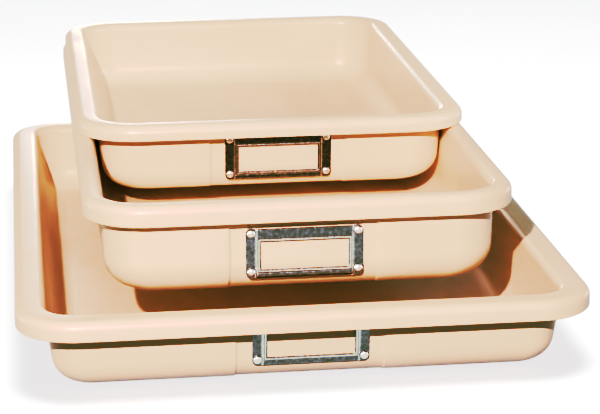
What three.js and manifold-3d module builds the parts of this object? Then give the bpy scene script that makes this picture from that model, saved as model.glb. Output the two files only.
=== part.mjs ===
// Set of three rectangular sample pans, stacked small on medium on large, each with a riveted label holder.
// Millimetres, +Z up, +Y towards the back. The origin is the middle of the stack's footprint, on the ground.

import * as THREE from 'three';
import { mergeVertices } from 'three/addons/utils/BufferGeometryUtils.js';
import Module from 'manifold-3d';

const wasm = await Module();
wasm.setup();

// ---------- driving dimensions ----------

// Clearance left between pieces that touch each other.
const GAP = 0.3;

// The three pans. width and depth are over the rim, height is base to rim top, rim is the height of the
// turned-down lip, overhang is how far the lip stands out from the wall at rim height, and corner is the
// rim's radius in plan. draft is the slope of the wall and bottomRadius the curve at its foot. centreX and
// front place the middle of the pan and its front edge, holderX places the label holder from that middle,
// and holderBase is the holder's lower edge above the pan's base.
const LARGE = {
  size: 'large', width: 457, depth: 660, height: 66, rim: 16, overhang: 21, corner: 49,
  draft: 0.15, bottomRadius: 25, wall: 3, centreX: 0, front: -330, holderX: 1, holderBase: 14.5,
};
const MEDIUM = {
  size: 'medium', width: 343, depth: 688, height: 80, rim: 17, overhang: 14.5, corner: 49,
  draft: 0.015, bottomRadius: 29, wall: 2.5, centreX: -1.3, front: -298, holderX: 0.3, holderBase: 14,
};
const SMALL = {
  size: 'small', width: 342, depth: 481, height: 66, rim: 13.4, overhang: 17.5, corner: 52,
  draft: 0.08, bottomRadius: 24, wall: 2.5, centreX: 0.7, front: -95, holderX: 2.7, holderBase: 10.5,
};

// The medium pan stands on the large pan's back rim, and the small pan's lip rests on the medium pan's rim.
LARGE.base = 0;
MEDIUM.base = LARGE.height + GAP;
SMALL.base = MEDIUM.base + MEDIUM.height + GAP + SMALL.rim - SMALL.height;

// Middle of the stack's footprint, measured along Y as front is.
const ORIGIN_Y = (LARGE.front + MEDIUM.front + MEDIUM.depth) / 2;

// Rim section, and the tightest that a corner gets where the walls draw in to the base.
const OUTER_ROLL = 7.5;
const INNER_ROLL = 7;
const UNDER_FILLET = 3;
const LEAST_CORNER = 6;

// Shallow panel pressed into the front wall behind the label holder.
const PANEL_WIDTH = 115;
const PANEL_DEPTH = 2;
const PANEL_RAMP = 3;

// Label holder, a pressed sheet with a raised middle that leaves a slot for a card.
const HOLDER_WIDTH = 93;
const HOLDER_HEIGHT = 40.5;
const HOLDER_SHEET = 1;
const HOLDER_CORNER = 4;
const FLANGE_WIDTH = 7.6;
const STEP_WIDTH = 1;
const CARD_SLOT = 1.2;
const WINDOW_WIDTH = 69.5;
const WINDOW_HEIGHT = 22.5;
const WINDOW_UP = -1.9;
const WINDOW_BEVEL = 0.8;

// Rivets and the washers behind the wall.
const RIVET_SPACING_X = 84.8;
const RIVET_FROM_TOP = 3.9;
const RIVET_FROM_BOTTOM = 4.9;
const RIVET_HEAD_RADIUS = 3.2;
const RIVET_HEAD_EDGE = 0.4;
const RIVET_DOME_HEIGHT = 1.5;
const RIVET_SHANK_RADIUS = 1.6;
const RIVET_TAIL_RADIUS = 2.6;
const RIVET_TAIL_HEIGHT = 1.6;
const RIVET_TAIL_CHAMFER = 0.8;
const WASHER_RADIUS = 4.2;
const WASHER_THICKNESS = 1;

// How far a cutting tool runs past the face it cuts, and the distance within which vertices are one.
const OVERCUT = 1;
const SAME_POINT = 1e-4;

// Facets.
const CORNER_STEPS = 6;
const FILLET_STEPS = 5;
const ROLL_STEPS = 4;
const ROUND_STEPS = 12;
const DOME_STEPS = 4;
const PLATE_CORNER_STEPS = 4;

// ---------- materials ----------

function panMaterial() {
  return new THREE.MeshStandardMaterial({ color: 0xecd9c4, roughness: 0.35, metalness: 0 });
}

function holderMaterial() {
  return new THREE.MeshStandardMaterial({ color: 0x55585c, roughness: 0.25, metalness: 1 });
}

function rivetMaterial() {
  return new THREE.MeshStandardMaterial({ color: 0xd8dcde, roughness: 0.2, metalness: 1 });
}

function washerMaterial() {
  return new THREE.MeshStandardMaterial({ color: 0xa9adb0, roughness: 0.4, metalness: 1 });
}

// ---------- joining and cutting ----------

function toManifold(geometry) {
  const bare = geometry.clone();
  bare.deleteAttribute('normal');
  bare.deleteAttribute('uv');
  const merged = mergeVertices(bare, SAME_POINT);
  return new wasm.Manifold(new wasm.Mesh({
    numProp: 3,
    vertProperties: new Float32Array(merged.attributes.position.array),
    triVerts: new Uint32Array(merged.index.array),
  }));
}

function toGeometry(manifold) {
  const mesh = manifold.getMesh();
  const geometry = new THREE.BufferGeometry();
  geometry.setAttribute('position', new THREE.BufferAttribute(new Float32Array(mesh.vertProperties), 3));
  geometry.setIndex(new THREE.BufferAttribute(new Uint32Array(mesh.triVerts), 1));
  geometry.computeVertexNormals();
  return geometry;
}

function cut(body, tools) {
  const solid = tools.reduce((left, tool) => left.subtract(toManifold(tool)), toManifold(body));
  return toGeometry(solid);
}

// ---------- rings and lofts ----------

// Points along a quarter turn or any other arc, in the plane of a section.
function arc(centreA, centreB, radius, startDegrees, endDegrees, steps) {
  const points = [];
  for (let step = 0; step <= steps; step += 1) {
    const angle = THREE.MathUtils.degToRad(startDegrees + (endDegrees - startDegrees) * step / steps);
    points.push([centreA + radius * Math.cos(angle), centreB + radius * Math.sin(angle)]);
  }
  return points;
}

// One level of a pan: a rounded rectangle set in from the rim's outer edge, counter-clockwise from above,
// with its front side stepped back by recess over the label panel.
function panRing(pan, inset, height, recess) {
  const halfWidth = pan.width / 2 - inset;
  const halfDepth = pan.depth / 2 - inset;
  const wallInset = Math.max(inset - pan.overhang, 0);
  const radius = Math.max(pan.corner - Math.min(inset, pan.overhang) - wallInset / 2, LEAST_CORNER);
  const panelX = pan.holderX;
  const panelHalf = PANEL_WIDTH / 2;
  const ring = [
    new THREE.Vector3(panelX - panelHalf - PANEL_RAMP, -halfDepth, height),
    new THREE.Vector3(panelX - panelHalf, -halfDepth + recess, height),
    new THREE.Vector3(panelX + panelHalf, -halfDepth + recess, height),
    new THREE.Vector3(panelX + panelHalf + PANEL_RAMP, -halfDepth, height),
  ];
  const corners = [[1, -1, -90], [1, 1, 0], [-1, 1, 90], [-1, -1, 180]];
  for (const [signX, signY, start] of corners) {
    const centreX = signX * (halfWidth - radius);
    const centreY = signY * (halfDepth - radius);
    for (const [x, y] of arc(centreX, centreY, radius, start, start + 90, CORNER_STEPS)) {
      ring.push(new THREE.Vector3(x, y, height));
    }
  }
  return ring;
}

// Closed solid through a stack of rings that all have the same number of points.
function loft(rings) {
  const count = rings[0].length;
  const positions = rings.flat().flatMap((point) => [point.x, point.y, point.z]);
  const index = [];
  for (let level = 0; level + 1 < rings.length; level += 1) {
    for (let i = 0; i < count; i += 1) {
      const next = (i + 1) % count;
      const low = level * count;
      const high = low + count;
      index.push(low + i, low + next, high + next, low + i, high + next, high + i);
    }
  }
  const capCentre = (ring) => {
    const centre = ring.reduce((sum, point) => sum.add(point), new THREE.Vector3()).divideScalar(count);
    positions.push(centre.x, centre.y, centre.z);
    return positions.length / 3 - 1;
  };
  const first = capCentre(rings[0]);
  const last = capCentre(rings[rings.length - 1]);
  const top = (rings.length - 1) * count;
  for (let i = 0; i < count; i += 1) {
    const next = (i + 1) % count;
    index.push(first, next, i);
    index.push(last, top + i, top + next);
  }
  const geometry = new THREE.BufferGeometry();
  geometry.setAttribute('position', new THREE.Float32BufferAttribute(positions, 3));
  geometry.setIndex(index);
  geometry.computeVertexNormals();
  return geometry;
}

// ---------- pan shells ----------

// Inset of the wall's outer face at a height above the pan's base.
function wallInsetAt(pan, height) {
  return pan.overhang + pan.draft * (pan.height - height);
}

// Section of a wall's foot, from the flat base up to the straight wall, at a distance in from the outside.
function footSection(pan, offset) {
  const slope = THREE.MathUtils.radToDeg(Math.atan(pan.draft));
  const centreInset = wallInsetAt(pan, pan.bottomRadius) + pan.bottomRadius;
  const radius = pan.bottomRadius - offset;
  return arc(centreInset, pan.bottomRadius, radius, 270, 180 + slope, FILLET_STEPS);
}

// Inner side of the pan, from the floor up and over the inner roll to the rim top.
function innerSection(pan) {
  const wallTop = pan.height - INNER_ROLL;
  const inset = wallInsetAt(pan, wallTop) + pan.wall;
  return {
    foot: footSection(pan, pan.wall),
    roll: arc(inset - INNER_ROLL, wallTop, INNER_ROLL, 0, 90, ROLL_STEPS),
  };
}

// Outer side of the pan, from the base up the wall, out under the rim, round the lip and up to the rim top.
function outerSection(pan) {
  const underRim = pan.height - pan.wall;
  const filletTop = underRim - UNDER_FILLET;
  const wallInset = wallInsetAt(pan, filletTop);
  const underFillet = arc(wallInset - UNDER_FILLET, filletTop, UNDER_FILLET, 0, 90, ROLL_STEPS / 2);
  const innerLipRoll = OUTER_ROLL - pan.wall;
  const underRoll = arc(OUTER_ROLL, pan.height - OUTER_ROLL, innerLipRoll, 90, 180, ROLL_STEPS / 2);
  const outerRoll = arc(OUTER_ROLL, pan.height - OUTER_ROLL, OUTER_ROLL, 180, 90, ROLL_STEPS);
  const lipBottom = pan.height - pan.rim;
  return {
    wall: [...footSection(pan, 0), underFillet[0]],
    lip: [...underFillet.slice(1), ...underRoll, [pan.wall, lipBottom], [0, lipBottom], ...outerRoll],
  };
}

function panShell(pan) {
  const outer = outerSection(pan);
  const inner = innerSection(pan);
  const rings = (section, recess) => section.map(([inset, height]) => panRing(pan, inset, height, recess));
  return loft([
    ...rings(outer.wall, PANEL_DEPTH),
    ...rings(outer.lip, 0),
    ...rings(inner.roll.slice(1).reverse(), 0),
    ...rings([...inner.foot, inner.roll[0]].reverse(), PANEL_DEPTH),
  ]);
}

// The space inside a pan up to its inner roll, drawn in by GAP.
function panCavity(pan) {
  const top = pan.height - INNER_ROLL;
  const levels = [...footSection(pan, pan.wall + GAP), [wallInsetAt(pan, top) + pan.wall + GAP, top]];
  return loft(levels.map(([inset, height]) => panRing(pan, inset, height, PANEL_DEPTH)));
}

// ---------- label holder ----------
// Drawn with X to the right, Y up the wall and Z out of the wall, from a point on the wall's face.

function box(x0, x1, y0, y1, z0, z1) {
  const geometry = new THREE.BoxGeometry(x1 - x0, y1 - y0, z1 - z0);
  return geometry.translate((x0 + x1) / 2, (y0 + y1) / 2, (z0 + z1) / 2);
}

function rod(radius, x, y, z0, z1) {
  const geometry = new THREE.CylinderGeometry(radius, radius, z1 - z0, ROUND_STEPS);
  return geometry.rotateX(Math.PI / 2).translate(x, y, (z0 + z1) / 2);
}

function rivetPlaces() {
  const upper = HOLDER_HEIGHT / 2 - RIVET_FROM_TOP;
  const lower = -HOLDER_HEIGHT / 2 + RIVET_FROM_BOTTOM;
  const right = RIVET_SPACING_X / 2;
  return [
    { name: 'upper_left', x: -right, y: upper },
    { name: 'upper_right', x: right, y: upper },
    { name: 'lower_left', x: -right, y: lower },
    { name: 'lower_right', x: right, y: lower },
  ];
}

// The sheet's section across the holder: flange, step, raised middle, step, flange.
function sheetSection() {
  const edge = HOLDER_WIDTH / 2;
  const foot = edge - FLANGE_WIDTH;
  const shoulder = foot - STEP_WIDTH;
  const low = GAP;
  const high = GAP + CARD_SLOT;
  const lowFace = low + HOLDER_SHEET;
  const highFace = high + HOLDER_SHEET;
  const front = [[edge, low], [edge, lowFace], [foot, lowFace], [shoulder, highFace]];
  const behind = [[shoulder, high], [foot, low]];
  const mirrored = (points) => [...points].reverse().map(([x, z]) => [-x, z]);
  const outline = [...front, ...mirrored(front), ...mirrored(behind), ...behind];
  return new THREE.Shape(outline.map(([x, z]) => new THREE.Vector2(x, z)));
}

function roundedPlate(width, height, radius) {
  const shape = new THREE.Shape();
  const x = width / 2 - radius;
  const y = height / 2 - radius;
  shape.absarc(x, y, radius, 0, Math.PI / 2);
  shape.absarc(-x, y, radius, Math.PI / 2, Math.PI);
  shape.absarc(-x, -y, radius, Math.PI, Math.PI * 1.5);
  shape.absarc(x, -y, radius, Math.PI * 1.5, Math.PI * 2);
  return shape;
}

function holderGeometry() {
  const face = GAP + CARD_SLOT + HOLDER_SHEET;
  const sheet = new THREE.ExtrudeGeometry(sheetSection(), { depth: HOLDER_HEIGHT, bevelEnabled: false });
  sheet.rotateX(Math.PI / 2).translate(0, HOLDER_HEIGHT / 2, 0);
  const outline = roundedPlate(HOLDER_WIDTH, HOLDER_HEIGHT, HOLDER_CORNER);
  const blank = new THREE.ExtrudeGeometry(outline, {
    depth: face + OVERCUT,
    bevelEnabled: false,
    curveSegments: PLATE_CORNER_STEPS,
  });
  const middle = HOLDER_WIDTH / 2 - FLANGE_WIDTH - STEP_WIDTH;
  const floor = -HOLDER_HEIGHT / 2;
  const lip = box(-middle, middle, floor, floor + HOLDER_SHEET, GAP, face);
  const halfW = WINDOW_WIDTH / 2;
  const halfH = WINDOW_HEIGHT / 2;
  const opening = box(-halfW, halfW, WINDOW_UP - halfH, WINDOW_UP + halfH, 0, face + OVERCUT);
  const bevelRing = (grow, z) => [[-1, -1], [1, -1], [1, 1], [-1, 1]].map(
    ([signX, signY]) => new THREE.Vector3(signX * (halfW + grow), WINDOW_UP + signY * (halfH + grow), z),
  );
  const bevel = loft([
    bevelRing(-WINDOW_BEVEL, face - 2 * WINDOW_BEVEL),
    bevelRing(2 * WINDOW_BEVEL, face + WINDOW_BEVEL),
  ]);
  const solid = toManifold(sheet).intersect(toManifold(blank)).add(toManifold(lip));
  const holeRadius = RIVET_SHANK_RADIUS + GAP;
  const holes = rivetPlaces().map(({ x, y }) => rod(holeRadius, x, y, -OVERCUT, face + OVERCUT));
  return cut(toGeometry(solid), [opening, bevel, ...holes]);
}

// ---------- rivets and washers ----------

// How far the inner foot of the front wall stands in from the straight wall at a height above the base.
function footBulge(pan, height) {
  const radius = pan.bottomRadius - pan.wall;
  const below = Math.max(pan.bottomRadius - height, 0);
  return radius - Math.sqrt(Math.max(radius ** 2 - below ** 2, 0));
}

// Depth behind the wall's outer face at which a washer's flat back stands.
function washerBack(pan, place) {
  const lowest = pan.holderBase + HOLDER_HEIGHT / 2 + place.y - WASHER_RADIUS;
  return pan.wall + GAP + footBulge(pan, lowest) + WASHER_THICKNESS;
}

function rivetGeometry(pan, place) {
  const under = GAP + HOLDER_SHEET + GAP;
  const tailTop = -(washerBack(pan, place) + GAP);
  const tailEnd = tailTop - RIVET_TAIL_HEIGHT;
  const head = [];
  for (let step = 0; step <= DOME_STEPS; step += 1) {
    const angle = Math.PI / 2 * step / DOME_STEPS;
    const radius = step === DOME_STEPS ? 0 : RIVET_HEAD_RADIUS * Math.cos(angle);
    head.push(new THREE.Vector2(radius, under + RIVET_HEAD_EDGE + RIVET_DOME_HEIGHT * Math.sin(angle)));
  }
  const profile = [
    new THREE.Vector2(0, tailEnd),
    new THREE.Vector2(RIVET_TAIL_RADIUS - RIVET_TAIL_CHAMFER, tailEnd),
    new THREE.Vector2(RIVET_TAIL_RADIUS, tailEnd + RIVET_TAIL_CHAMFER),
    new THREE.Vector2(RIVET_TAIL_RADIUS, tailTop),
    new THREE.Vector2(RIVET_SHANK_RADIUS, tailTop),
    new THREE.Vector2(RIVET_SHANK_RADIUS, under),
    new THREE.Vector2(RIVET_HEAD_RADIUS, under),
    ...head,
  ];
  return new THREE.LatheGeometry(profile, ROUND_STEPS).rotateX(Math.PI / 2);
}

// The washer's front is shaped to the inside of the wall, and its back is flat.
function washerGeometry(pan, place, cavity) {
  const back = washerBack(pan, place);
  const disc = toManifold(rod(WASHER_RADIUS, place.x, place.y, -back, 0));
  const hole = toManifold(rod(RIVET_SHANK_RADIUS + GAP, place.x, place.y, -back - OVERCUT, OVERCUT));
  return toGeometry(disc.subtract(hole).intersect(cavity));
}

// ---------- assembly ----------

function namedMesh(name, geometry, material) {
  const mesh = new THREE.Mesh(geometry, material);
  mesh.name = name;
  return mesh;
}

// Group whose XY plane lies on the outer face of the label panel, centred on the label holder.
function panelGroup(pan) {
  const group = new THREE.Group();
  const height = pan.holderBase + HOLDER_HEIGHT / 2;
  const inset = wallInsetAt(pan, height) + PANEL_DEPTH;
  group.position.set(pan.holderX, -pan.depth / 2 + inset, height);
  group.rotation.x = Math.PI / 2 + Math.atan(pan.draft);
  group.updateMatrix();
  return group;
}

function buildPan(pan) {
  const group = new THREE.Group();
  group.position.set(pan.centreX, pan.front + pan.depth / 2 - ORIGIN_Y, pan.base);

  const panel = panelGroup(pan);
  const onPanel = (geometry) => geometry.applyMatrix4(panel.matrix);
  const places = rivetPlaces();
  const through = pan.wall * 3;
  const holes = places.map(({ x, y }) => onPanel(rod(RIVET_SHANK_RADIUS + GAP, x, y, -through, through)));
  group.add(namedMesh(`${pan.size}_pan`, cut(panShell(pan), holes), panMaterial()));

  const toPanel = panel.matrix.clone().invert();
  const cavity = toManifold(panCavity(pan).applyMatrix4(toPanel));
  panel.add(namedMesh(`label_holder_${pan.size}`, holderGeometry(), holderMaterial()));
  for (const place of places) {
    const rivet = namedMesh(`rivet_${pan.size}_${place.name}`, rivetGeometry(pan, place), rivetMaterial());
    rivet.position.set(place.x, place.y, 0);
    const washer = washerGeometry(pan, place, cavity);
    panel.add(rivet, namedMesh(`washer_${pan.size}_${place.name}`, washer, washerMaterial()));
  }
  group.add(panel);
  return group;
}

const model = new THREE.Group();
model.add(buildPan(LARGE), buildPan(MEDIUM), buildPan(SMALL));

export default model;
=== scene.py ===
"""A stack of three moulded sample pans with riveted label holders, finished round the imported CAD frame.

Metres, +Z up, +Y towards the back. Each pan, holder, rivet and washer is rebuilt as a fine mesh in the
place of its CAD node, from the boxes of the three pan nodes and the section sizes named below.
"""

import math

import bmesh
import bpy
from mathutils import Matrix, Vector


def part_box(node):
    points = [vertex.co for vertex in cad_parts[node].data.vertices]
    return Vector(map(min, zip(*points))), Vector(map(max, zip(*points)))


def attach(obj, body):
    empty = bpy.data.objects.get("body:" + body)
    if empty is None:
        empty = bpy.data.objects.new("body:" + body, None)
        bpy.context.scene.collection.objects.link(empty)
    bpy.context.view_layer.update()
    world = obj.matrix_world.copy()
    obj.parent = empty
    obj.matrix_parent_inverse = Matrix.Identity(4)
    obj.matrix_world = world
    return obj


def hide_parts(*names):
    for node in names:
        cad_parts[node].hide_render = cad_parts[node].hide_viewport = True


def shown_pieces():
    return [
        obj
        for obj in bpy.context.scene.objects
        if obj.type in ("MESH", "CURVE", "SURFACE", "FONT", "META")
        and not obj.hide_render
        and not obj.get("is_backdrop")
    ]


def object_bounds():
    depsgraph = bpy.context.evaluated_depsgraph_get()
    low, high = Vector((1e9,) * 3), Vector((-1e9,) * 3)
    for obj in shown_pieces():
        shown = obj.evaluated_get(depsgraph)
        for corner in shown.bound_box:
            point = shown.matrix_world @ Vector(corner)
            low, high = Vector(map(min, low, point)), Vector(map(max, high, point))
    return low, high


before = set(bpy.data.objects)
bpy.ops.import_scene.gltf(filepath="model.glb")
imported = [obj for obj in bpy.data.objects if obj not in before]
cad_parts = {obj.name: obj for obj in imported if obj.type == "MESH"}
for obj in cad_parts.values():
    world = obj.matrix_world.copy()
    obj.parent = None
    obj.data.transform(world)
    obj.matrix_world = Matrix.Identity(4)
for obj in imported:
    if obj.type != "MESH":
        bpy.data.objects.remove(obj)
CAD_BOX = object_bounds()

MM = 0.001

# ---------- sizes ----------

GAP = 0.3 * MM
OUTER_ROLL = 7.5 * MM
INNER_ROLL = 7.0 * MM
UNDER_FILLET = 3.0 * MM
LIP_EDGE_RADIUS = 1.1 * MM
LEAST_CORNER = 6.0 * MM

PANEL_WIDTH = 115.0 * MM
PANEL_DEPTH = 2.0 * MM
PANEL_RAMP = 3.0 * MM

# The fronts are out from the panel's face, and the step and window line widths are those of the highlight
# lines painted bright on the plate.
HOLDER_WIDTH = 93.0 * MM
HOLDER_HEIGHT = 40.5 * MM
HOLDER_SHEET = 0.9 * MM
HOLDER_CORNER = 4.0 * MM
HOLDER_FRONT = 2.5 * MM
FLANGE_WIDTH = 7.6 * MM
FLANGE_FRONT = 1.3 * MM
FLANGE_THICKNESS = 1.0 * MM
STEP_WIDTH = 1.4 * MM
MOST_LOWERED = 1.1 * MM
WINDOW_WIDTH = 69.5 * MM
WINDOW_HEIGHT = 22.5 * MM
WINDOW_UP = -1.9 * MM
WINDOW_BEVEL_WIDTH = 2.0 * MM
WINDOW_BEVEL_DROP = 0.9 * MM
STEP_HIGHLIGHT = 0.6 * MM
WINDOW_HIGHLIGHT_AT = 1.5 * MM
WINDOW_HIGHLIGHT = 0.45 * MM
CREASE_AT = 2.6 * MM
CREASE_WIDTH = 0.5 * MM
CREASE_DEPTH = 0.3 * MM
BOTTOM_CURL = 1.9 * MM
TOP_CURL = 0.8 * MM
SHEET_BEVEL = 0.18 * MM

RIVET_X = 42.4 * MM
RIVET_UPPER = 16.35 * MM
RIVET_LOWER = -15.35 * MM
RIVET_HEAD_RADIUS = 3.2 * MM
RIVET_HEAD_EDGE = 0.35 * MM
RIVET_DOME_HEIGHT = 1.55 * MM
RIVET_SHANK_RADIUS = 1.6 * MM
RIVET_TAIL_RADIUS = 2.6 * MM
RIVET_TAIL_HEIGHT = 1.6 * MM
RIVET_TAIL_EDGE = 0.7 * MM
HOLE_RADIUS = RIVET_SHANK_RADIUS + GAP
HOLE_BACK = -12.0 * MM
HOLE_FRONT = 5.0 * MM
WASHER_RADIUS = 4.2 * MM
WASHER_MIDDLE = 1.5 * HOLE_RADIUS
WASHER_THICKNESS = 1.0 * MM
SMALL_BEVEL = 0.2 * MM

# Section of each pan in millimetres: rim is the height of the turned-down lip, overhang how far it stands
# out from the wall, corner its radius in plan, draft the slope of the wall (a ratio), foot the radius at the
# base, wall its thickness, holder_x the middle of the label holder and holder_base the height of its lower
# edge.
SECTIONS = {
    "large": {"rim": 16.0, "overhang": 21.0, "corner": 49.0, "draft": 0.15, "foot": 25.0, "wall": 3.0,
              "holder_x": 1.0, "holder_base": 14.5},
    "medium": {"rim": 17.0, "overhang": 14.5, "corner": 49.0, "draft": 0.015, "foot": 29.0, "wall": 2.5,
               "holder_x": 0.3, "holder_base": 14.0},
    "small": {"rim": 13.4, "overhang": 17.5, "corner": 52.0, "draft": 0.08, "foot": 24.0, "wall": 2.5,
              "holder_x": 2.7, "holder_base": 10.5},
}
PLACES = {
    "upper_left": (-RIVET_X, RIVET_UPPER),
    "upper_right": (RIVET_X, RIVET_UPPER),
    "lower_left": (-RIVET_X, RIVET_LOWER),
    "lower_right": (RIVET_X, RIVET_LOWER),
}

# ---------- light, tone and camera ----------

# Lights stand round the middle of the object: azimuth 0 is the front and 90 the right, in degrees.
LIGHT_DISTANCE = 2.3
TOP_DISTANCE = 2.0
TOP_ELEVATION = 80.0
CARD_DISTANCE = 1.6
KEY_AZIMUTH = -14.0
KEY_ELEVATION = 24.0
SIDE_AZIMUTH = 80.0
SIDE_ELEVATION = 25.0
CARD_ELEVATION = 8.0
CARD_AZIMUTHS = {"left": -72.0, "right": 80.0}
# Name, azimuth, elevation and power.
BACK_LIGHTS = (
    ("right_light", 120.0, 4.0, 3.2),
    ("back_light", 180.0, 5.0, 8.0),
    ("left_light", -115.0, 4.0, 4.5),
)

KEY_SIZE = 0.04
TOP_SIZE = 1.6
SIDE_SIZE = 0.8
BACK_SIZE = 0.5
PAPER_SIZE = 1.2
CARD_SIZE = 1.1

KEY_POWER = 42.0
TOP_POWER = 1.4
SIDE_POWER = 12.0
CARD_POWER = 26.0
FLOOR_POWER = 34.0

WHITE = (1.0, 1.0, 1.0)
KEY_COLOUR = (1.0, 0.63, 0.465)
TOP_COLOUR = (1.0, 0.82, 0.64)
SIDE_COLOUR = (1.0, 0.80, 0.64)
GLOSS_COLOUR = (0.86, 0.97, 0.84)
GLOSS_STRENGTH = 0.34
ROOM_COLOUR = (0.95, 0.90, 0.50)
ROOM_STRENGTH = 0.042
BACKDROP_STRENGTH = 1.2

FLOOR_HALF_WIDTH = 12.0
FLOOR_BELOW = 0.2 * MM
FLOOR_GLOW = 0.55
FLOOR_GLOSS = 0.45
FLOOR_BOUNCE = (0.10, 0.075, 0.045)

# Points on the red, green and blue tone curves and on the one applied after them, each giving the printed
# brightness for a linear one.
PRINT_TONES = (
    ((0.08, 0.086), (0.37, 0.44), (0.70, 0.66)),
    ((0.028, 0.038), (0.09, 0.09), (0.205, 0.24), (0.40, 0.36)),
    ((0.02, 0.015), (0.06, 0.055), (0.125, 0.165), (0.245, 0.228), (0.36, 0.33)),
    ((0.03, 0.022), (0.07, 0.075), (0.14, 0.33), (0.25, 0.58), (0.40, 0.725), (0.65, 0.83)),
)

# Place in metres, turns in degrees, lens and sensor in millimetres.
CAMERA_PLACE = (-0.21187, -1.9020, 0.5934)
CAMERA_YAW = 7.4255
CAMERA_PITCH = 15.8871
CAMERA_ROLL = -0.2544
CAMERA_LENS = 128.28
CAMERA_SENSOR = 36.0

# ---------- mesh steps ----------

CORNER_STEPS = 18
FOOT_STEPS = 14
ROLL_STEPS = 12
SMALL_STEPS = 5
ROUND_STEPS = 36
RAMP_STEPS = 6
PANEL_STEPS = 10
FRONT_STEPS = 4
SIDE_STEPS = 12
BACK_STEPS = 10
EDGE_ANGLE_STEP = 15
FLAT_STEPS = 3
BEND_STEPS = 6
CREASE_STEPS = 12
WINDOW_STEPS_ACROSS = 24
WINDOW_STEPS_UP = 10
SHEET_BEVEL_STEPS = 2

# Edges sharper than these angles, in degrees, are shaded sharp or bevelled.
LATHE_SHARP_ANGLE = 40
SHEET_BEVEL_ANGLE = 50

# Share of the full pale rim paint, a painted highlight with some edge wear, at the lip's outer edge and
# where the outer roll starts.
LIP_PALE_SHARE = 0.8
ROLL_PALE_SHARE = 0.25


class Pan:
    """One pan: its place from the CAD node's box and its section in metres."""

    def __init__(self, size):
        section = SECTIONS[size]
        low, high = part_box(f"{size}_pan")
        self.size = size
        self.centre = (low + high) / 2
        self.centre.z = low.z
        self.half_width = (high.x - low.x) / 2
        self.half_depth = (high.y - low.y) / 2
        self.height = high.z - low.z
        self.draft = section["draft"]
        self.rim = section["rim"] * MM
        self.overhang = section["overhang"] * MM
        self.corner = section["corner"] * MM
        self.foot = section["foot"] * MM
        self.wall = section["wall"] * MM
        self.holder_x = section["holder_x"] * MM
        self.holder_height = section["holder_base"] * MM + HOLDER_HEIGHT / 2

    def wall_inset(self, height):
        """How far in from the rim's outer edge the wall's outer face is."""
        return self.overhang + self.draft * (self.height - height)

    def ring_radius(self, inset):
        """Corner radius in plan at an inset from the rim's outer edge."""
        beyond = max(inset - self.overhang, 0) / 2
        return max(self.corner - min(inset, self.overhang) - beyond, LEAST_CORNER)

    def foot_bulge(self, height):
        """How far the inner foot of the wall stands in from the straight wall."""
        radius = self.foot - self.wall
        below = max(self.foot - height, 0)
        return radius - math.sqrt(max(radius**2 - below**2, 0))

    def washer_back(self, y):
        """How far the back of a washer is in from the panel's face, for a rivet y up the holder."""
        lowest = self.holder_height + y - WASHER_RADIUS
        return self.wall + GAP + self.foot_bulge(lowest) + WASHER_THICKNESS

    def panel_matrix(self):
        """Places X right, Y up the wall and Z outward, from the middle of the holder on the panel's face."""
        inset = self.wall_inset(self.holder_height) + PANEL_DEPTH
        place = self.centre + Vector((self.holder_x, -self.half_depth + inset, self.holder_height))
        turn = Matrix.Rotation(math.pi / 2 + math.atan(self.draft), 4, "X")
        return Matrix.Translation(place) @ turn


# ---------- mesh helpers ----------


def smooth(t):
    """Eased step from 0 to 1."""
    t = min(max(t, 0.0), 1.0)
    return t * t * (3 - 2 * t)


def spread(start, end, steps):
    """Values from start up to, and not at, end."""
    return [start + (end - start) * i / steps for i in range(steps)]


def arc(centre, radius, start, end, steps):
    """Points on an arc, its angles in degrees, both ends included."""
    points = []
    for i in range(steps + 1):
        angle = math.radians(start + (end - start) * i / steps)
        points.append((centre[0] + radius * math.cos(angle), centre[1] + radius * math.sin(angle)))
    return points


def new_object(name, verts, faces, material, smooth_angle=None):
    mesh = bpy.data.meshes.new(name)
    mesh.from_pydata(verts, [], faces)
    mesh.validate()
    bm = bmesh.new()
    bm.from_mesh(mesh)
    bmesh.ops.recalc_face_normals(bm, faces=bm.faces)
    bm.to_mesh(mesh)
    bm.free()
    mesh.shade_smooth()
    if smooth_angle is not None:
        mesh.set_sharp_from_angle(angle=math.radians(smooth_angle))
    mesh.materials.append(material)
    obj = bpy.data.objects.new(name, mesh)
    bpy.context.scene.collection.objects.link(obj)
    return obj


def grid_faces(rings, count, closed_rings=False):
    """Quads between rings that all have count points."""
    faces = []
    pairs = rings if closed_rings else rings - 1
    for ring in range(pairs):
        low = ring * count
        high = ((ring + 1) % rings) * count
        for i in range(count):
            j = (i + 1) % count
            faces.append((low + i, low + j, high + j, high + i))
    return faces


# ---------- materials ----------


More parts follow.
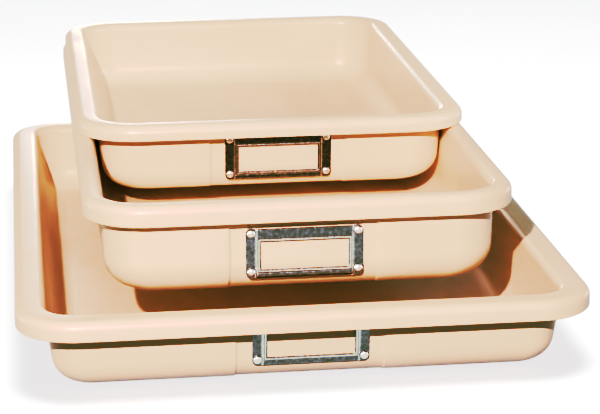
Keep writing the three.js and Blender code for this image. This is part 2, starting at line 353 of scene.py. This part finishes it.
class Nodes:
    """Short calls for building one material's node tree."""

    def __init__(self, name):
        self.material = bpy.data.materials.new(name)
        self.material.use_nodes = True
        self.tree = self.material.node_tree
        self.shader = self.tree.nodes["Principled BSDF"]
        self.place = self.tree.nodes.new("ShaderNodeTexCoord").outputs["Object"]

    def link(self, source, target):
        self.tree.links.new(source, target)

    def noise(self, scale, detail, roughness=0.5, stretch=None):
        node = self.tree.nodes.new("ShaderNodeTexNoise")
        node.inputs["Scale"].default_value = scale
        node.inputs["Detail"].default_value = detail
        node.inputs["Roughness"].default_value = roughness
        place = self.place
        if stretch is not None:
            mapping = self.tree.nodes.new("ShaderNodeMapping")
            mapping.inputs["Scale"].default_value = stretch
            self.link(place, mapping.inputs["Vector"])
            place = mapping.outputs["Vector"]
        self.link(place, node.inputs["Vector"])
        return node.outputs["Fac"]

    def remap(self, value, low, high, to_low=0.0, to_high=1.0):
        node = self.tree.nodes.new("ShaderNodeMapRange")
        self.link(value, node.inputs["Value"])
        sockets = ("From Min", "From Max", "To Min", "To Max")
        for socket, number in zip(sockets, (low, high, to_low, to_high)):
            node.inputs[socket].default_value = number
        return node.outputs["Result"]

    def math(self, operation, a, b):
        node = self.tree.nodes.new("ShaderNodeMath")
        node.operation = operation
        for socket, value in zip(node.inputs, (a, b)):
            if isinstance(value, (int, float)):
                socket.default_value = value
            else:
                self.link(value, socket)
        return node.outputs["Value"]

    def mix(self, share, a, b):
        """Colour between a and b. Inputs 6 and 7 and output 2 are the Mix node's colour sockets."""
        node = self.tree.nodes.new("ShaderNodeMix")
        node.data_type = "RGBA"
        self.link(share, node.inputs["Factor"])
        for socket, value in zip((node.inputs[6], node.inputs[7]), (a, b)):
            if isinstance(value, tuple):
                socket.default_value = (*value, 1.0)
            else:
                self.link(value, socket)
        return node.outputs[2]

    def attribute(self, name):
        node = self.tree.nodes.new("ShaderNodeAttribute")
        node.attribute_name = name
        return node.outputs["Fac"]

    def bump(self, height, distance, strength, before=None):
        node = self.tree.nodes.new("ShaderNodeBump")
        node.inputs["Distance"].default_value = distance
        node.inputs["Strength"].default_value = strength
        self.link(height, node.inputs["Height"])
        if before is not None:
            self.link(before, node.inputs["Normal"])
        return node.outputs["Normal"]

    def set(self, **values):
        for name, value in values.items():
            socket = self.shader.inputs[name.replace("_", " ")]
            if isinstance(value, (int, float)):
                socket.default_value = value
            else:
                self.link(value, socket)


def pan_material():
    """Cream glass-fibre resin: soft mottling, fine orange peel, scuffs on the floor, and rims painted pale
    as a highlight with some edge wear.
    """
    m = Nodes("cream_moulded_resin")
    body = (0.81, 0.70, 0.60)
    warm = (0.775, 0.655, 0.545)
    # Pale rim colour: a painted highlight on the rim tops, with some edge wear.
    pale = (0.86, 0.755, 0.64)
    scuff = (0.70, 0.55, 0.40)
    scuff_strength = 0.28
    scuff_roughness = 0.10
    most_mottle = 0.8
    mottle = m.remap(m.noise(scale=9.0, detail=5.0), low=0.35, high=0.7, to_high=most_mottle)
    speckle = m.remap(m.noise(scale=240.0, detail=3.0), low=0.45, high=0.75, to_high=0.35)
    patchy = m.remap(m.noise(scale=60.0, detail=4.0), low=0.3, high=0.7, to_low=0.35, to_high=0.95)
    scratched = m.noise(scale=26.0, detail=7.0, roughness=0.62, stretch=(2.2, 1.0, 1.0))
    scuffs = m.remap(scratched, low=0.42, high=0.72)
    # Painted highlight over the rims, with some wear, broken up in patches.
    paint_masks = m.math("MULTIPLY", m.attribute("rim_highlight_and_wear"), patchy)
    marks = m.math("MULTIPLY", m.attribute("floor_wear"), scuffs)
    colour = m.mix(mottle, body, warm)
    colour = m.mix(speckle, colour, warm)
    colour = m.mix(paint_masks, colour, pale)
    m.set(Base_Color=m.mix(m.math("MULTIPLY", marks, scuff_strength), colour, scuff))
    rough = m.remap(mottle, low=0.0, high=most_mottle, to_low=0.32, to_high=0.40)
    rough_marks = m.math("MULTIPLY", marks, scuff_roughness)
    m.set(Roughness=m.math("ADD", rough, rough_marks), IOR=1.5)
    wave = m.bump(m.noise(scale=14.0, detail=2.0), distance=2.2 * MM, strength=0.35)
    peel = m.bump(m.noise(scale=420.0, detail=3.0), distance=0.12 * MM, strength=0.35, before=wave)
    m.set(Normal=peel)
    return m.material


def holder_material():
    """Dark nickel plate on pressed sheet, brushed along the holder, with smudges and highlight lines painted
    near white along the step and window edges.
    """
    m = Nodes("dark_nickel_plate")
    dark = (0.115, 0.12, 0.125)
    smudged = (0.27, 0.275, 0.28)
    # Near-white colour of the painted highlight lines on the plate.
    painted_highlight = (0.95, 0.95, 0.94)
    smudge = m.remap(m.noise(scale=300.0, detail=7.0, roughness=0.7), low=0.35, high=0.7)
    patchy = m.remap(m.noise(scale=90.0, detail=3.0), low=0.3, high=0.55, to_low=0.55)
    # Painted highlight: the plate colour is lightened along the step and window edges, broken up in patches.
    painted_edge_highlight = m.math("MULTIPLY", m.attribute("edge_highlight"), patchy)
    m.set(Base_Color=m.mix(painted_edge_highlight, m.mix(smudge, dark, smudged), painted_highlight), Metallic=1.0)
    brushed = m.noise(scale=160.0, detail=5.0, roughness=0.6, stretch=(1.0, 14.0, 14.0))
    rough = m.remap(smudge, low=0.0, high=1.0, to_low=0.16, to_high=0.30)
    m.set(Roughness=m.math("ADD", rough, m.remap(brushed, low=0.3, high=0.7, to_high=0.07)))
    dents = m.bump(m.noise(scale=260.0, detail=3.0), distance=0.1 * MM, strength=0.3)
    m.set(Normal=m.bump(brushed, distance=0.05 * MM, strength=0.25, before=dents))
    return m.material


def rivet_material():
    """Bright aluminium, lightly hammered where the head was set."""
    m = Nodes("bright_aluminium")
    bright = (0.90, 0.91, 0.92)
    dull = (0.62, 0.63, 0.65)
    stain = m.remap(m.noise(scale=420.0, detail=4.0), low=0.4, high=0.75)
    m.set(Base_Color=m.mix(stain, bright, dull), Metallic=1.0)
    grain = m.noise(scale=600.0, detail=3.0)
    m.set(Roughness=m.remap(grain, low=0.3, high=0.7, to_low=0.24, to_high=0.42))
    m.set(Normal=m.bump(m.noise(scale=500.0, detail=2.0), distance=0.15 * MM, strength=0.35))
    return m.material


def washer_material():
    """Zinc plate: dull, with a faint spangle."""
    m = Nodes("zinc_plate")
    dark = (0.50, 0.51, 0.53)
    light = (0.68, 0.69, 0.70)
    spangle = m.remap(m.noise(scale=700.0, detail=3.0), low=0.35, high=0.7)
    m.set(Base_Color=m.mix(spangle, dark, light), Metallic=1.0)
    m.set(Roughness=m.remap(spangle, low=0.0, high=1.0, to_low=0.36, to_high=0.52))
    m.set(Normal=m.bump(m.noise(scale=1100.0, detail=2.0), distance=0.08 * MM, strength=0.3))
    return m.material


# ---------- pan shells ----------


def ring(pan, inset, height, recess):
    """One level of a pan, counter-clockwise from above, with the front stepped back over the label panel."""
    half_width = pan.half_width - inset
    half_depth = pan.half_depth - inset
    radius = pan.ring_radius(inset)
    side_x = half_width - radius
    side_y = half_depth - radius
    panel_end = PANEL_WIDTH / 2 + PANEL_RAMP
    points = []

    def front(x):
        beyond = abs(x - pan.holder_x) - PANEL_WIDTH / 2
        points.append((x, -half_depth + recess * (1 - smooth(beyond / PANEL_RAMP))))

    left, right = pan.holder_x - panel_end, pan.holder_x + panel_end
    for x in spread(left, left + PANEL_RAMP, RAMP_STEPS):
        front(x)
    for x in spread(left + PANEL_RAMP, right - PANEL_RAMP, PANEL_STEPS):
        front(x)
    for x in spread(right - PANEL_RAMP, right, RAMP_STEPS) + spread(right, side_x, FRONT_STEPS):
        front(x)
    points += arc((side_x, -side_y), radius, -90, 0, CORNER_STEPS)
    points += [(half_width, y) for y in spread(-side_y, side_y, SIDE_STEPS)[1:]]
    points += arc((side_x, side_y), radius, 0, 90, CORNER_STEPS)
    points += [(x, half_depth) for x in spread(side_x, -side_x, BACK_STEPS)[1:]]
    points += arc((-side_x, side_y), radius, 90, 180, CORNER_STEPS)
    points += [(-half_width, y) for y in spread(side_y, -side_y, SIDE_STEPS)[1:]]
    points += arc((-side_x, -side_y), radius, 180, 270, CORNER_STEPS)
    points += [(x, -half_depth) for x in spread(-side_x, left, FRONT_STEPS)[1:]]
    return [pan.centre + Vector((x, y, height)) for x, y in points]


def section(pan):
    """Levels from the base up the outside, round the lip, over the rim and down to the floor.

    Each level is (inset, height, share of the panel's recess, share of the pale rim paint that stands for a
    highlight with some wear, floor wear).
    """
    slope = math.degrees(math.atan(pan.draft))
    foot_centre = (pan.wall_inset(pan.foot) + pan.foot, pan.foot)
    levels = []

    def add(points, recess, rim=0.0, floor=0.0):
        levels.extend((inset, height, recess, rim, floor) for inset, height in points)

    add(arc(foot_centre, pan.foot, 270, 180 + slope, FOOT_STEPS), 1.0)
    fillet_top = pan.height - pan.wall - UNDER_FILLET
    fillet_centre = (pan.wall_inset(fillet_top) - UNDER_FILLET, fillet_top)
    for step, point in enumerate(arc(fillet_centre, UNDER_FILLET, 0, 90, SMALL_STEPS)):
        add([point], 1 - smooth(step / SMALL_STEPS))
    roll_centre = (OUTER_ROLL, pan.height - OUTER_ROLL)
    add(arc(roll_centre, OUTER_ROLL - pan.wall, 90, 180, SMALL_STEPS), 0.0)
    lip = pan.height - pan.rim
    inner_edge = (pan.wall - LIP_EDGE_RADIUS, lip + LIP_EDGE_RADIUS)
    add(arc(inner_edge, LIP_EDGE_RADIUS, 0, -90, SMALL_STEPS), 0.0)
    outer_edge = (LIP_EDGE_RADIUS, lip + LIP_EDGE_RADIUS)
    # From the lip's outer edge over the rim top and down the inner roll, the rim share paints a pale
    # highlight, strongest on top, with some edge wear.
    add(arc(outer_edge, LIP_EDGE_RADIUS, -90, -180, SMALL_STEPS), 0.0, LIP_PALE_SHARE)
    for step, point in enumerate(arc(roll_centre, OUTER_ROLL, 180, 90, ROLL_STEPS)):
        add([point], 0.0, ROLL_PALE_SHARE + (1 - ROLL_PALE_SHARE) * smooth(step / ROLL_STEPS))
    wall_top = pan.height - INNER_ROLL
    inner = pan.wall_inset(wall_top) + pan.wall
    for step, point in enumerate(arc((inner - INNER_ROLL, wall_top), INNER_ROLL, 90, 0, ROLL_STEPS)):
        share = step / ROLL_STEPS
        add([point], smooth(share), 1 - smooth(share))
    inner_foot = arc(foot_centre, pan.foot - pan.wall, 180 + slope, 270, FOOT_STEPS)
    for step, point in enumerate(inner_foot):
        add([point], 1.0, 0.0, smooth(step / FOOT_STEPS))
    return levels


def pan_shell(pan, material):
    levels = section(pan)
    verts = []
    paint_masks = {"rim_highlight_and_wear": [], "floor_wear": []}
    for inset, height, recess, rim, floor in levels:
        points = ring(pan, inset, height, recess * PANEL_DEPTH)
        count = len(points)
        verts += points
        paint_masks["rim_highlight_and_wear"] += [rim] * count
        paint_masks["floor_wear"] += [floor] * count
    faces = grid_faces(len(levels), count)
    faces.append(tuple(reversed(range(count))))
    last = (len(levels) - 1) * count
    faces.append(tuple(last + i for i in range(count)))
    shell = new_object(f"{pan.size}_moulded_shell", verts, faces, material)
    for name, values in paint_masks.items():
        shell.data.attributes.new(name, "FLOAT", "POINT").data.foreach_set("value", values)
    return shell


# ---------- label holders, rivets and washers ----------


def holder_columns():
    """X places across the holder, close together at every bend."""
    edge = HOLDER_WIDTH / 2
    foot = edge - FLANGE_WIDTH
    shoulder = foot - STEP_WIDTH
    window = WINDOW_WIDTH / 2
    ridge = window + CREASE_AT + 2 * CREASE_WIDTH
    half = [edge - HOLDER_CORNER * (1 - math.cos(math.radians(a))) for a in range(0, 90, EDGE_ANGLE_STEP)]
    half += spread(edge - HOLDER_CORNER, foot, FLAT_STEPS) + spread(foot, shoulder, BEND_STEPS)
    half += [shoulder] + spread(ridge, window, CREASE_STEPS) + [window]
    across_window = spread(-window, window, WINDOW_STEPS_ACROSS)[1:]
    return [-x for x in half] + across_window + list(reversed(half))


def holder_rows():
    """Y places up the holder, close together at every bend."""
    edge = HOLDER_HEIGHT / 2
    bottom = WINDOW_UP - WINDOW_HEIGHT / 2
    top = WINDOW_UP + WINDOW_HEIGHT / 2
    around = CREASE_AT + 2 * CREASE_WIDTH
    rows = [-edge + BOTTOM_CURL * (1 - math.cos(math.radians(a))) for a in range(0, 90, EDGE_ANGLE_STEP)]
    rows += spread(-edge + BOTTOM_CURL, bottom - around, FLAT_STEPS)
    rows += spread(bottom - around, bottom, CREASE_STEPS)
    rows += spread(bottom, top, WINDOW_STEPS_UP)
    rows += spread(top, top + around, CREASE_STEPS)
    rows += spread(top + around, edge - TOP_CURL, FLAT_STEPS)
    rows += [edge - TOP_CURL * (1 - math.sin(math.radians(a))) for a in range(0, 91, EDGE_ANGLE_STEP)]
    return rows


def curl(distance, radius):
    """Drop of a rounded edge at a distance in from it."""
    inward = max(radius - distance, 0)
    return radius - math.sqrt(max(radius**2 - inward**2, 0))


def holder_surface(x, y):
    """Front of the pressed sheet, out from the panel."""
    edge = HOLDER_WIDTH / 2 - FLANGE_WIDTH
    raised = smooth((edge - abs(x)) / STEP_WIDTH)
    outside = max(abs(x) - WINDOW_WIDTH / 2, abs(y - WINDOW_UP) - WINDOW_HEIGHT / 2)
    bevel = curl(outside, WINDOW_BEVEL_WIDTH) * WINDOW_BEVEL_DROP / WINDOW_BEVEL_WIDTH
    crease = CREASE_DEPTH * math.exp(-(((outside - CREASE_AT) / CREASE_WIDTH) ** 2))
    ends = curl(y + HOLDER_HEIGHT / 2, BOTTOM_CURL) + curl(HOLDER_HEIGHT / 2 - y, TOP_CURL)
    lowered = min(bevel + crease + ends, MOST_LOWERED)
    return FLANGE_FRONT + raised * (HOLDER_FRONT - FLANGE_FRONT - lowered)


def holder_highlight(x, y):
    """Mask of the highlight lines painted bright along the step at each end and round the window."""
    step = abs(x) - (HOLDER_WIDTH / 2 - FLANGE_WIDTH - STEP_WIDTH / 2)
    outside = max(abs(x) - WINDOW_WIDTH / 2, abs(y - WINDOW_UP) - WINDOW_HEIGHT / 2)
    lip = outside - WINDOW_HIGHLIGHT_AT
    return max(math.exp(-((step / STEP_HIGHLIGHT) ** 2)), math.exp(-((lip / WINDOW_HIGHLIGHT) ** 2)))


def label_holder(pan, material):
    columns, rows = holder_columns(), holder_rows()
    edge_x, edge_y = HOLDER_WIDTH / 2, HOLDER_HEIGHT / 2
    verts, paint_masks = [], []
    for y in rows:
        for x in columns:
            # Mask of the painted highlight lines, kept as a point attribute.
            paint_masks.append(holder_highlight(x, y))
            past = max(abs(x) - (edge_x - HOLDER_CORNER), 0)
            reach = edge_y - HOLDER_CORNER + math.sqrt(max(HOLDER_CORNER**2 - past**2, 0))
            verts.append(Vector((x, y * reach / edge_y, holder_surface(x, y))))
    width = len(columns)
    faces = []
    for j in range(len(rows) - 1):
        for i in range(width - 1):
            middle_x = abs(columns[i] + columns[i + 1]) / 2
            middle_y = abs((rows[j] + rows[j + 1]) / 2 - WINDOW_UP)
            if middle_x > WINDOW_WIDTH / 2 or middle_y > WINDOW_HEIGHT / 2:
                corner = j * width + i
                faces.append((corner, corner + 1, corner + width + 1, corner + width))
    plate = new_object(f"label_holder_{pan.size}_plate", verts, faces, material)
    plate.data.attributes.new("edge_highlight", "FLOAT", "POINT").data.foreach_set("value", paint_masks)
    solid = plate.modifiers.new("sheet", "SOLIDIFY")
    solid.thickness = HOLDER_SHEET
    solid.offset = -1.0
    bevel = plate.modifiers.new("edges", "BEVEL")
    bevel.width = SHEET_BEVEL
    bevel.segments = SHEET_BEVEL_STEPS
    bevel.limit_method = "ANGLE"
    bevel.angle_limit = math.radians(SHEET_BEVEL_ANGLE)
    plate.matrix_world = pan.panel_matrix()
    return plate


def lathe(name, profile, material, matrix):
    """Closed solid of revolution about local Z. The profile runs from the axis to the axis."""
    rim = profile[1:-1]
    verts = [Vector((0, 0, profile[0][1])), Vector((0, 0, profile[-1][1]))]
    for radius, z in rim:
        for i in range(ROUND_STEPS):
            angle = 2 * math.pi * i / ROUND_STEPS
            verts.append(Vector((radius * math.cos(angle), radius * math.sin(angle), z)))
    faces = [tuple(2 + v for v in face) for face in grid_faces(len(rim), ROUND_STEPS)]
    last = 2 + (len(rim) - 1) * ROUND_STEPS
    for i in range(ROUND_STEPS):
        j = (i + 1) % ROUND_STEPS
        faces.append((0, 2 + j, 2 + i))
        faces.append((1, last + i, last + j))
    obj = new_object(name, verts, faces, material, LATHE_SHARP_ANGLE)
    obj.matrix_world = matrix
    return obj


def drill_rivet_holes(obj, pan, material):
    """Cuts a clearance hole for each shank, and applies the object's other modifiers on the way."""
    profile = [(0, HOLE_BACK), (HOLE_RADIUS, HOLE_BACK), (HOLE_RADIUS, HOLE_FRONT), (0, HOLE_FRONT)]
    drills = []
    for x, y in PLACES.values():
        drill = lathe("drill", profile, material, pan.panel_matrix() @ Matrix.Translation((x, y, 0)))
        cut = obj.modifiers.new("rivet_hole", "BOOLEAN")
        cut.operation = "DIFFERENCE"
        cut.solver = "EXACT"
        cut.object = drill
        drills.append(drill)
    bpy.context.view_layer.update()
    graph = bpy.context.evaluated_depsgraph_get()
    drilled = bpy.data.meshes.new_from_object(
        obj.evaluated_get(graph), preserve_all_data_layers=True, depsgraph=graph)
    obj.modifiers.clear()
    obj.data = drilled
    for drill in drills:
        bpy.data.objects.remove(drill)
    return obj


def rivet(pan, place, material):
    """Domed head on the holder's flange, shank through the wall, and a tail clinched on the washer."""
    x, y = PLACES[place]
    under = GAP + FLANGE_THICKNESS + GAP
    tail_top = -(pan.washer_back(y) + GAP)
    tail_end = tail_top - RIVET_TAIL_HEIGHT
    profile = [(0, tail_end)]
    edge_centre = (RIVET_TAIL_RADIUS - RIVET_TAIL_EDGE, tail_end + RIVET_TAIL_EDGE)
    profile += arc(edge_centre, RIVET_TAIL_EDGE, -90, 0, SMALL_STEPS)
    profile += [(RIVET_TAIL_RADIUS, tail_top), (RIVET_SHANK_RADIUS, tail_top)]
    profile += [(RIVET_SHANK_RADIUS, under), (RIVET_HEAD_RADIUS - SMALL_BEVEL, under)]
    profile += [(RIVET_HEAD_RADIUS, under + SMALL_BEVEL), (RIVET_HEAD_RADIUS, under + RIVET_HEAD_EDGE)]
    for step in range(1, ROLL_STEPS):
        angle = math.pi / 2 * step / ROLL_STEPS
        height = under + RIVET_HEAD_EDGE + RIVET_DOME_HEIGHT * math.sin(angle)
        profile.append((RIVET_HEAD_RADIUS * math.cos(angle), height))
    profile.append((0, under + RIVET_HEAD_EDGE + RIVET_DOME_HEIGHT))
    matrix = pan.panel_matrix() @ Matrix.Translation((x, y, 0))
    return lathe(f"rivet_{pan.size}_{place}_set", profile, material, matrix)


def washer(pan, place, material):
    """Flat at the back and shaped to the inside of the wall at the front."""
    x, y = PLACES[place]
    back = -pan.washer_back(y)

    def front(point_y):
        return -(pan.wall + GAP + pan.foot_bulge(pan.holder_height + y + point_y))

    # Radius and height of each loop; a height of None follows the wall.
    loops = [(HOLE_RADIUS, None), (WASHER_MIDDLE, None), (WASHER_RADIUS - SMALL_BEVEL, None)]
    loops += [(WASHER_RADIUS, back + 2 * SMALL_BEVEL), (WASHER_RADIUS, back + SMALL_BEVEL)]
    loops += [(WASHER_RADIUS - SMALL_BEVEL, back), (HOLE_RADIUS + SMALL_BEVEL, back)]
    loops += [(HOLE_RADIUS, back + SMALL_BEVEL)]
    verts = []
    for radius, z in loops:
        for i in range(ROUND_STEPS):
            angle = 2 * math.pi * i / ROUND_STEPS
            px, py = radius * math.cos(angle), radius * math.sin(angle)
            verts.append(Vector((px, py, front(py) if z is None else z)))
    faces = grid_faces(len(loops), ROUND_STEPS, closed_rings=True)
    name = f"washer_{pan.size}_{place}_plated"
    obj = new_object(name, verts, faces, material, LATHE_SHARP_ANGLE)
    obj.matrix_world = pan.panel_matrix() @ Matrix.Translation((x, y, 0))
    return obj


# ---------- the object ----------


def stand_for(obj, node, body):
    """Puts obj in the place of a CAD node, on the body that the node belongs to."""
    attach(obj, body)
    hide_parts(node)


def build_object():
    resin, nickel = pan_material(), holder_material()
    aluminium, zinc = rivet_material(), washer_material()
    for size in SECTIONS:
        pan = Pan(size)
        shell = drill_rivet_holes(pan_shell(pan, resin), pan, resin)
        stand_for(shell, f"{size}_pan", size)
        plate = drill_rivet_holes(label_holder(pan, nickel), pan, nickel)
        stand_for(plate, f"label_holder_{size}", size)
        for place in PLACES:
            stand_for(rivet(pan, place, aluminium), f"rivet_{size}_{place}", size)
            stand_for(washer(pan, place, zinc), f"washer_{size}_{place}", size)


# ---------- stage, light and camera ----------


def direction(azimuth, elevation):
    """Unit vector from the object towards a viewer at that azimuth and elevation in degrees."""
    a, e = math.radians(azimuth), math.radians(elevation)
    return Vector((math.sin(a) * math.cos(e), -math.cos(a) * math.cos(e), math.sin(e)))


def area_light(name, target, azimuth, elevation, distance, size, power, colour):
    """Round light that faces the target."""
    data = bpy.data.lights.new(name, "AREA")
    data.shape = "DISK"
    data.size = size
    data.energy = power
    data.color = colour
    light = bpy.data.objects.new(name, data)
    towards = direction(azimuth, elevation)
    light.location = target + towards * distance
    light.rotation_mode = "QUATERNION"
    light.rotation_quaternion = towards.to_track_quat("Z", "Y")
    bpy.context.scene.collection.objects.link(light)
    return light


def build_floor():
    """Paper: near-white to the camera, dimmer in reflections, and dull brown in what it throws back."""
    m = Nodes("pale_paper_floor")
    shade = (0.84, 0.85, 0.87)
    light = (0.88, 0.89, 0.91)
    fibre = m.remap(m.noise(scale=3.0, detail=3.0), low=0.3, high=0.7)
    m.set(Base_Color=m.mix(fibre, shade, light))
    m.set(Roughness=0.9, Specular_IOR_Level=0.1, Emission_Strength=FLOOR_GLOW)
    m.shader.inputs["Emission Color"].default_value = (*WHITE, 1.0)
    dull = m.tree.nodes.new("ShaderNodeBsdfDiffuse")
    dull.inputs["Color"].default_value = (*FLOOR_BOUNCE, 1.0)
    glint = m.tree.nodes.new("ShaderNodeEmission")
    glint.inputs["Color"].default_value = (*GLOSS_COLOUR, 1.0)
    glint.inputs["Strength"].default_value = FLOOR_GLOSS
    path = m.tree.nodes.new("ShaderNodeLightPath")
    shader = dull.outputs["BSDF"]
    for rays, other in (("Is Glossy Ray", glint.outputs["Emission"]),
                        ("Is Camera Ray", m.shader.outputs["BSDF"])):
        mix = m.tree.nodes.new("ShaderNodeMixShader")
        m.link(path.outputs[rays], mix.inputs["Fac"])
        m.link(shader, mix.inputs[1])
        m.link(other, mix.inputs[2])
        shader = mix.outputs["Shader"]
    m.link(shader, m.tree.nodes["Material Output"].inputs["Surface"])
    half = FLOOR_HALF_WIDTH
    z = CAD_BOX[0].z - FLOOR_BELOW
    verts = [(-half, -half, z), (half, -half, z), (half, half, z), (-half, half, z)]
    floor = new_object("floor", verts, [(0, 1, 2, 3)], m.material)
    floor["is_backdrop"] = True
    return floor


def build_world():
    """Dim yellow room light, a pale green-white room in reflections and plain white behind the object."""
    world = bpy.data.worlds.new("studio")
    world.use_nodes = True
    tree = world.node_tree
    path = tree.nodes.new("ShaderNodeLightPath")
    shader = tree.nodes["Background"].outputs["Background"]
    tree.nodes["Background"].inputs["Color"].default_value = (*ROOM_COLOUR, 1.0)
    tree.nodes["Background"].inputs["Strength"].default_value = ROOM_STRENGTH
    for rays, colour, strength in (("Is Glossy Ray", GLOSS_COLOUR, GLOSS_STRENGTH),
                                   ("Is Camera Ray", WHITE, BACKDROP_STRENGTH)):
        other = tree.nodes.new("ShaderNodeBackground")
        other.inputs["Color"].default_value = (*colour, 1.0)
        other.inputs["Strength"].default_value = strength
        mix = tree.nodes.new("ShaderNodeMixShader")
        tree.links.new(path.outputs[rays], mix.inputs["Fac"])
        tree.links.new(shader, mix.inputs[1])
        tree.links.new(other.outputs["Background"], mix.inputs[2])
        shader = mix.outputs["Shader"]
    tree.links.new(shader, tree.nodes["World Output"].inputs["Surface"])
    bpy.context.scene.world = world


def light_only(light, name, pieces):
    """Keeps the light to the given pieces."""
    lit = bpy.data.collections.new(name)
    for piece in pieces:
        lit.objects.link(piece)
    light.light_linking.receiver_collection = lit


def build_lights(floor):
    """A small warm key left of the camera, soft light overhead, and weak lights from the side and back.

    The key and the back lights fall on the object alone, the side light on the small pan alone, the paper
    light on the floor alone, and the two cards are seen in the metal alone.
    """
    target = (CAD_BOX[0] + CAD_BOX[1]) / 2
    key = area_light("key_light", target, KEY_AZIMUTH, KEY_ELEVATION, LIGHT_DISTANCE, KEY_SIZE,
                     KEY_POWER, KEY_COLOUR)
    area_light("top_light", target, 0.0, TOP_ELEVATION, TOP_DISTANCE, TOP_SIZE, TOP_POWER, TOP_COLOUR)
    light_only(key, "lit_by_key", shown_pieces())
    side = area_light("side_light", target, SIDE_AZIMUTH, SIDE_ELEVATION, LIGHT_DISTANCE, SIDE_SIZE,
                      SIDE_POWER, SIDE_COLOUR)
    light_only(side, "lit_from_side", [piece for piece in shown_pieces() if "small" in piece.name])
    for name, azimuth, elevation, power in BACK_LIGHTS:
        light = area_light(name, target, azimuth, elevation, LIGHT_DISTANCE, BACK_SIZE, power, SIDE_COLOUR)
        light_only(light, f"lit_by_{name}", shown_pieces())
    paper = area_light("paper_light", target, 0.0, TOP_ELEVATION, TOP_DISTANCE, PAPER_SIZE,
                       FLOOR_POWER, WHITE)
    light_only(paper, "lit_paper", [floor])
    metal = [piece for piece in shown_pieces() if not piece.name.endswith("_shell")]
    for side_name, azimuth in CARD_AZIMUTHS.items():
        card = area_light(f"{side_name}_card", target, azimuth, CARD_ELEVATION, CARD_DISTANCE, CARD_SIZE,
                          CARD_POWER, GLOSS_COLOUR)
        card.visible_diffuse = False
        light_only(card, f"lit_by_{side_name}_card", metal)


def tone_print():
    """The tones of a hard colour print: deep shadows and an even, bright lit side."""
    settings = bpy.context.scene.view_settings
    settings.view_transform = "Standard"
    settings.use_curve_mapping = True
    for curve, tones in zip(settings.curve_mapping.curves, PRINT_TONES):
        for shade, tone in tones:
            curve.points.new(shade, tone)
        for point in curve.points:
            point.handle_type = "AUTO_CLAMPED"
    settings.curve_mapping.update()


def build_camera():
    """The photo's camera, as fitted to the three rims."""
    yaw, pitch, roll = math.radians(CAMERA_YAW), math.radians(CAMERA_PITCH), math.radians(CAMERA_ROLL)
    forward = Vector((math.sin(yaw) * math.cos(pitch), math.cos(yaw) * math.cos(pitch), -math.sin(pitch)))
    level = Vector((math.cos(yaw), -math.sin(yaw), 0))
    upright = level.cross(forward)
    right = level * math.cos(roll) + upright * math.sin(roll)
    up = -level * math.sin(roll) + upright * math.cos(roll)
    data = bpy.data.cameras.new("camera")
    data.sensor_width = CAMERA_SENSOR
    data.lens = CAMERA_LENS
    camera = bpy.data.objects.new("camera", data)
    turn = Matrix((right, up, -forward)).transposed().to_4x4()
    camera.matrix_world = Matrix.Translation(CAMERA_PLACE) @ turn
    bpy.context.scene.collection.objects.link(camera)
    bpy.context.scene.camera = camera


build_camera()
build_object()
build_world()
build_lights(build_floor())
tone_print()
